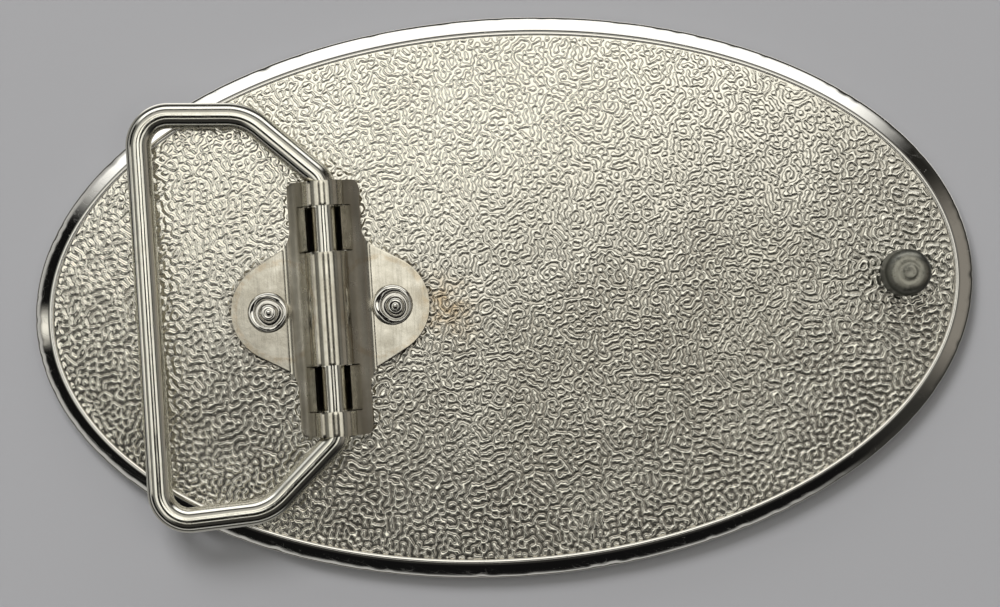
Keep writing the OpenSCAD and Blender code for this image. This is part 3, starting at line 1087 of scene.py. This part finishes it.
def wire_mesh():
    """The wire as rings round its centre line, with the faint waves of drawing and bending."""
    low, high = box_mm("wire_loop")
    radius = (high[2] - low[2]) / 2
    height = (high[2] + low[2]) / 2
    path = wire_route(radius)
    ahead = np.gradient(path, axis=0)
    ahead /= np.linalg.norm(ahead, axis=1)[:, None]
    outward = np.stack([ahead[:, 1], -ahead[:, 0]], axis=1)
    along = np.concatenate([[0], np.cumsum(np.linalg.norm(np.diff(path, axis=0), axis=1))])
    angles = np.linspace(0, 2 * math.pi, 64, endpoint=False)
    marks = in_mm(settings("buckle_wire").drawing_marks)
    chance = np.random.default_rng(21)
    dent = np.zeros((len(path), len(angles)))
    for _ in range(26):
        wave = chance.uniform(0.5, 6)
        around = chance.integers(1, 5)
        phase = chance.uniform(0, 2 * math.pi)
        dent += np.sin(along[:, None] * 2 * math.pi / wave + around * angles[None, :] + phase) * wave
    dent = (dent / np.abs(dent).max() + 1) / 2
    rings = []
    end_round = 0.3
    for i, (place, side) in enumerate(zip(path, outward)):
        from_end = min(along[i], along[-1] - along[i])
        shrink = 1.0
        if from_end < end_round:
            shrink = 0.75 + 0.25 * math.sqrt(1 - (1 - from_end / end_round) ** 2)
        reach = (radius - marks * dent[i]) * shrink
        rings.append(np.stack([
            place[0] + side[0] * reach * np.cos(angles),
            place[1] + side[1] * reach * np.cos(angles),
            height + reach * np.sin(angles),
        ], axis=1))
    first = np.array([*path[0], height])
    last = np.array([*path[-1], height])
    return stack_rings(rings, centre_low=first, centre_high=last)


class BUCKLE_OT_wire(bpy.types.Operator):
    """Build the bent-wire loop that holds the belt's fixed end"""

    bl_idname = "buckle.wire"
    bl_label = "Wire loop"

    def execute(self, context):
        points, faces = wire_mesh()
        piece = write_mesh("bent_wire", points, faces)
        recalculate_normals(piece)
        seat_piece(piece, "loop", "wire_loop", "wire_nickel", wire_finish())
        return {"FINISHED"}


def recalculate_normals(piece):
    work = bmesh.new()
    work.from_mesh(piece.data)
    bmesh.ops.recalc_face_normals(work, faces=work.faces)
    work.to_mesh(piece.data)
    work.free()


# ---------------------------------------------------------------- rivets

def rivet_profile(head, rise, crater, nib):
    """(radius, height) down a set rivet's half section, from its middle to its rim's foot."""
    lip = (head - crater) / 4
    lip_middle = crater / 2 + lip
    floor = rise * 0.3
    top = rise * 0.88
    rows = [(0.03, top), (0.16, top - 0.05), (0.24, top - 0.16), (0.42, top - 0.15)]
    rows += [(nib * 0.3, top - 0.11), (nib * 0.4, top - 0.16), (nib * 0.47, top - 0.3)]
    rows += [(nib * 0.5, floor + 0.02), (nib * 0.54, floor), (crater / 2 - 0.03, floor + 0.02)]
    for i in range(13):
        a = math.pi * (1 - i / 12)
        rows.append((lip_middle + lip * math.cos(a), floor + (rise - floor) * math.sin(a)))
    rows += [(head / 2, floor * 0.5), (head / 2 - 0.03, 0.0)]
    return rows


def rivet_mesh(node, seed, skew):
    sizes = settings("buckle_rivet")
    low, high = box_mm(node)
    sheet_top = box_mm("hinge_bracket")[0][2] + in_mm(settings("buckle_bracket").sheet)
    head = high[0] - low[0]
    rise = high[2] - sheet_top
    centre = ((low[0] + high[0]) / 2, (low[1] + high[1]) / 2, sheet_top)
    shank = 1.2
    profile = rivet_profile(head, rise, in_mm(sizes.crater), in_mm(sizes.nib))
    profile += [(shank + 0.05, 0.0), (shank, -0.05), (shank, low[2] - sheet_top)]
    edge = head / 2
    lean, lean_heading = in_mm(sizes.lean), seed * 0.7
    skew_x, skew_y = skew * 0.8, -skew * 0.5

    def shape(radius, angles, height):
        out = radius / edge
        broad, fine = ripple(angles, seed, range(1, 5)), ripple(angles, seed + 1, range(7, 24))
        worn = broad * 0.06 + fine * 0.006
        inner = smooth_step(out, 0.15, 0.5) * (1 - smooth_step(out, 0.85, 1.0))
        reach = radius * (1 + worn * inner) - (0.02 + 0.02 * worn) * smooth_step(out, 0.9, 1.0)
        shift = 1 - smooth_step(out, 0.55, 0.95) if height > 0 else 0
        sag = (1 - 0.16 * (1 + ripple(angles, seed + 2, range(1, 5)))) if height > 0 else 1
        lift = height * (1 - (1 - sag) * smooth_step(out, 0.6, 0.8))
        if height > 0:
            driven = lean * (1 - np.cos(angles - lean_heading)) * smooth_step(out, 0.05, 0.5)
            lift = lift - driven * height / rise
        x = reach * np.cos(angles) + shift * skew_x
        y = reach * np.sin(angles) + shift * skew_y
        return x, y, np.broadcast_to(lift, x.shape)

    return lathe(profile, centre, shape, segments=160)


class BUCKLE_OT_rivets(bpy.types.Operator):
    """Build the two set rivets that hold the bracket to the plate"""

    bl_idname = "buckle.rivets"
    bl_label = "Rivets"

    def execute(self, context):
        finish = rivet_finish()
        skew = in_mm(settings("buckle_rivet").skew)
        for side, seed, off in (("left", 31, skew * 0.7), ("right", 47, skew * 2.2)):
            points, faces = rivet_mesh("rivet_" + side, seed, off)
            piece = write_mesh("set_rivet_" + side, points, faces, sharp_degrees=70)
            recalculate_normals(piece)
            seat_piece(piece, "buckle", "rivet_" + side, "rivet_nickel", finish)
        return {"FINISHED"}


# ---------------------------------------------------------------- stud

class BUCKLE_OT_stud(bpy.types.Operator):
    """Build the plain stud that takes one of the belt's holes"""

    bl_idname = "buckle.stud"
    bl_label = "Stud"

    def execute(self, context):
        sizes = settings("buckle_stud")
        low, high = box_mm("stud")
        field_z = box_mm("hinge_bracket")[0][2]
        radius = (high[0] - low[0]) / 2
        top = high[2] - field_z
        pip_r, rounding = in_mm(sizes.pip) / 2, in_mm(sizes.edge_round)
        flat = top - 0.12
        shank, collar = 1.5, 0.4
        profile = [(0.05, top - 0.04), (pip_r * 0.5, top - 0.03), (pip_r * 0.8, top - 0.01)]
        profile += [(pip_r, top - 0.05), (pip_r + 0.1, flat - 0.02), (pip_r + 0.35, flat - 0.03)]
        profile += [(radius - rounding - 0.1, flat)]
        for i in range(1, 10):
            a = math.pi / 2 * (1 - i / 9)
            out, up = rounding * math.cos(a), rounding * math.sin(a)
            profile.append((radius - rounding + out, flat - rounding + up))
        profile += [(radius - 0.02, flat * 0.5), (radius, 0.35), (radius, 0.0)]
        profile += [(shank, -0.02), (shank, low[2] - field_z)]
        shift = in_mm(sizes.pip_shift)

        def shape(reach, angles, height):
            above = 1 - smooth_step(np.array(reach), pip_r, radius - rounding)
            off = shift * above if height > 0 else 0
            wave = ripple(angles, 61, range(2, 12)) * 0.02
            worn = reach * (1 + wave * (height > collar)) - 0.03 * (height > collar) * reach / radius
            x = worn * np.cos(angles) + off
            y = worn * np.sin(angles) + off * 0.4
            return x, y, np.full(angles.shape, float(height))

        centre = ((low[0] + high[0]) / 2, (low[1] + high[1]) / 2, field_z)
        points, faces = lathe(profile, centre, shape, segments=144)
        piece = write_mesh("plain_stud", points, faces, sharp_degrees=70)
        recalculate_normals(piece)
        seat_piece(piece, "buckle", "stud", "stud_dark", stud_finish())
        return {"FINISHED"}


# ---------------------------------------------------------------- stage

class BuckleStageSettings(bpy.types.PropertyGroup):
    """The floor, the camera and the light."""

    roll: FloatProperty(name="Camera roll", description="Turn of the view about its own axis",
                        default=math.radians(3.6), subtype="ANGLE")
    distance: length("Camera height", "Height of the camera above the plate", 313.0)
    lens: FloatProperty(name="Lens", description="Focal length in millimetres", default=110.5)
    off_right: length("Aim right", "How far right of the plate's centre the camera aims", -0.44)
    off_up: length("Aim up", "How far above the plate's centre the camera aims", -0.60)
    light: FloatProperty(name="Window light", description="Power of the soft side light in watts",
                         default=18.0)
    sky: FloatProperty(name="Room light", description="Strength of the room's light", default=1.0)


def between(tree, value, low, high, soft):
    """A mask that is 1 where the value lies between low and high, with soft ends."""
    rise = ramp_node(tree, value, low - soft, low + soft)
    fall = ramp_node(tree, value, high - soft, high + soft, 1.0, 0.0)
    return math_node(tree, "MULTIPLY", rise, fall)


def room_light(strength):
    """A soft room: dim walls, a pale ceiling, and the dark shape of whoever looks down.

    Every part of the room is a patch of the sky: its heading from +X, half its width, its
    lowest and highest elevation, the softness of its edges, all in degrees, and its tone. A
    disc has its direction, its inner and outer half width in degrees, and its tone. The tones
    are fitted to this buckle.
    """
    world = bpy.data.worlds.new("soft_room")
    bpy.context.scene.world = world
    world.use_nodes = True
    tree = world.node_tree
    tree.nodes.clear()
    place = tree.nodes.new("ShaderNodeTexCoord").outputs["Generated"]
    split = tree.nodes.new("ShaderNodeSeparateXYZ")
    join(tree, place, split.inputs[0])
    elevation = math_node(tree, "DEGREES", math_node(tree, "ARCSINE", split.outputs["Z"]))
    heading = vector_node(tree, "NORMALIZE", vector_node(tree, "MULTIPLY", place, (1, 1, 0)))
    bare_wall = (0.035, 0.034, 0.031)
    patches = (
        (0, 181, 60, 91, 4, (1.34, 1.31, 1.21)),
        (180, 50, 48, 64, 3, (0.95, 0.94, 0.87)),
        (180, 50, 30, 48, 3, (0.2, 0.198, 0.182)),
        (90, 50, 42, 62, 4, (0.5, 0.49, 0.45)),
        (0, 45, 52, 64, 3, (0.95, 0.93, 0.86)),
        (0, 40, 30, 43, 3, (0.2, 0.195, 0.18)),
        (226, 86, 8, 28, 3, (0.006, 0.006, 0.006)),
        (180, 4, 9, 25, 4, (1.1, 1.07, 0.97)),
        (32, 16, 5, 28, 4, (0.02, 0.019, 0.017)),
        (92, 46, 4, 27, 4, (1.7, 1.69, 1.64)),
        (-4, 26, 3, 28, 5, (0.27, 0.25, 0.22)),
        (215, 85, -5, 7, 2, (0.5, 0.495, 0.48)),
        (0, 181, -91, -25, 8, (0.3, 0.295, 0.28)),
        (70, 60, -74, -38, 9, (1.3, 1.28, 1.22)),
    )
    discs = (
        ((0.0, -0.09, 1.0), 19.0, 23.0, (0.012, 0.0115, 0.0105)),
        ((0.012, 0.12, 1.0), 7.2, 10.8, (1.5, 1.47, 1.36)),
    )
    tone = (*bare_wall, 1.0)
    for turn, half_width, low, high, soft, shade in patches:
        mask = between(tree, elevation, low, high, soft)
        if half_width < 180:
            aim = (math.cos(math.radians(turn)), math.sin(math.radians(turn)), 0)
            angle = math_node(tree, "ARCCOSINE", vector_node(tree, "DOT_PRODUCT", heading, aim))
            off = math_node(tree, "DEGREES", angle)
            side = between(tree, off, -90, half_width, min(10, half_width))
            mask = math_node(tree, "MULTIPLY", mask, side)
        tone = mix_colours(tree, mask, tone, (*shade, 1.0))
    for direction, inner, outer, shade in discs:
        size = math.sqrt(sum(c * c for c in direction))
        nearness = vector_node(tree, "DOT_PRODUCT", place, tuple(c / size for c in direction))
        rim, core = math.cos(math.radians(outer)), math.cos(math.radians(inner))
        tone = mix_colours(tree, ramp_node(tree, nearness, rim, core), tone, (*shade, 1.0))
    sky = tree.nodes.new("ShaderNodeBackground")
    sky.inputs["Strength"].default_value = strength
    out = tree.nodes.new("ShaderNodeOutputWorld")
    join(tree, tone, sky.inputs["Color"])
    join(tree, sky.outputs[0], out.inputs["Surface"])


def window_light(power):
    """A large soft lamp low beyond the plate's upper edge, which throws the shadow."""
    lamp = bpy.data.lights.new("window", "AREA")
    lamp.shape = "RECTANGLE"
    lamp.size, lamp.size_y = 0.8, 0.6
    lamp.energy = power
    lamp.color = (1.0, 0.985, 0.96)
    holder = bpy.data.objects.new("window", lamp)
    bpy.context.scene.collection.objects.link(holder)
    holder.location = (-0.5, 1.1, 1.2)
    aim = -holder.location
    holder.rotation_euler = aim.to_track_quat("-Z", "Y").to_euler()
    holder.visible_glossy = False


def floor_sheet():
    """A plain sheet that the plate's front face lies on."""
    reach, clear = 1.5, 0.02 * MM
    work = bmesh.new()
    bmesh.ops.create_grid(work, x_segments=24, y_segments=24, size=reach)
    bmesh.ops.translate(work, verts=work.verts, vec=(0, 0, CAD_BOX[0][2] - clear))
    mesh = bpy.data.meshes.new("floor")
    work.to_mesh(mesh)
    work.free()
    sheet = bpy.data.objects.new("floor", mesh)
    bpy.context.scene.collection.objects.link(sheet)
    mesh.materials.append(floor_finish())
    sheet.visible_glossy = False


def place_camera(stage):
    """The camera looks straight down at the back of the plate."""
    lens = bpy.data.cameras.new("camera")
    lens.lens = stage.lens
    lens.dof.use_dof = False
    lens.clip_start = 0.01
    camera = bpy.data.objects.new("camera", lens)
    bpy.context.scene.collection.objects.link(camera)
    right = (math.cos(stage.roll), -math.sin(stage.roll))
    up = (math.sin(stage.roll), math.cos(stage.roll))
    camera.location = (
        stage.off_right * right[0] + stage.off_up * up[0],
        stage.off_right * right[1] + stage.off_up * up[1],
        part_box("plate")[1].z + stage.distance,
    )
    camera.rotation_euler = (0, 0, -stage.roll)
    bpy.context.scene.camera = camera


class BUCKLE_OT_stage(bpy.types.Operator):
    """Build the pale floor, the soft light and the camera"""

    bl_idname = "buckle.stage"
    bl_label = "Stage"

    def execute(self, context):
        stage = settings("buckle_stage")
        floor_sheet()
        room_light(stage.sky)
        window_light(stage.light)
        place_camera(stage)
        context.scene.view_settings.view_transform = "Standard"
        return {"FINISHED"}


# ---------------------------------------------------------------- add-on

ALL_GROUPS = PIECE_GROUPS + (("buckle_stage", BuckleStageSettings),)

OPERATORS = (
    BUCKLE_OT_stage,
    BUCKLE_OT_plate,
    BUCKLE_OT_bracket,
    BUCKLE_OT_rivets,
    BUCKLE_OT_wire,
    BUCKLE_OT_stud,
)


class BUCKLE_PT_panel(bpy.types.Panel):
    """Lists the buckle's pieces and their sizes"""

    bl_idname = "BUCKLE_PT_panel"
    bl_label = "Oval Plate Buckle"
    bl_space_type = "VIEW_3D"
    bl_region_type = "UI"
    bl_category = "Buckle"

    def draw(self, context):
        for operator in OPERATORS:
            self.layout.operator(operator.bl_idname)
        for name, kind in ALL_GROUPS:
            box = self.layout.box()
            box.label(text=kind.__doc__)
            group = getattr(context.scene, name)
            for prop in kind.__annotations__:
                box.prop(group, prop)


def register():
    for name, kind in ALL_GROUPS:
        bpy.utils.register_class(kind)
        setattr(bpy.types.Scene, name, PointerProperty(type=kind))
    for kind in OPERATORS + (BUCKLE_PT_panel,):
        bpy.utils.register_class(kind)


def unregister():
    for kind in reversed(OPERATORS + (BUCKLE_PT_panel,)):
        bpy.utils.unregister_class(kind)
    for name, kind in ALL_GROUPS:
        delattr(bpy.types.Scene, name)
        bpy.utils.unregister_class(kind)


def main():
    register()
    for operator in OPERATORS:
        group, call = operator.bl_idname.split(".")
        getattr(getattr(bpy.ops, group), call)()


if __name__ == "__main__":
    main()
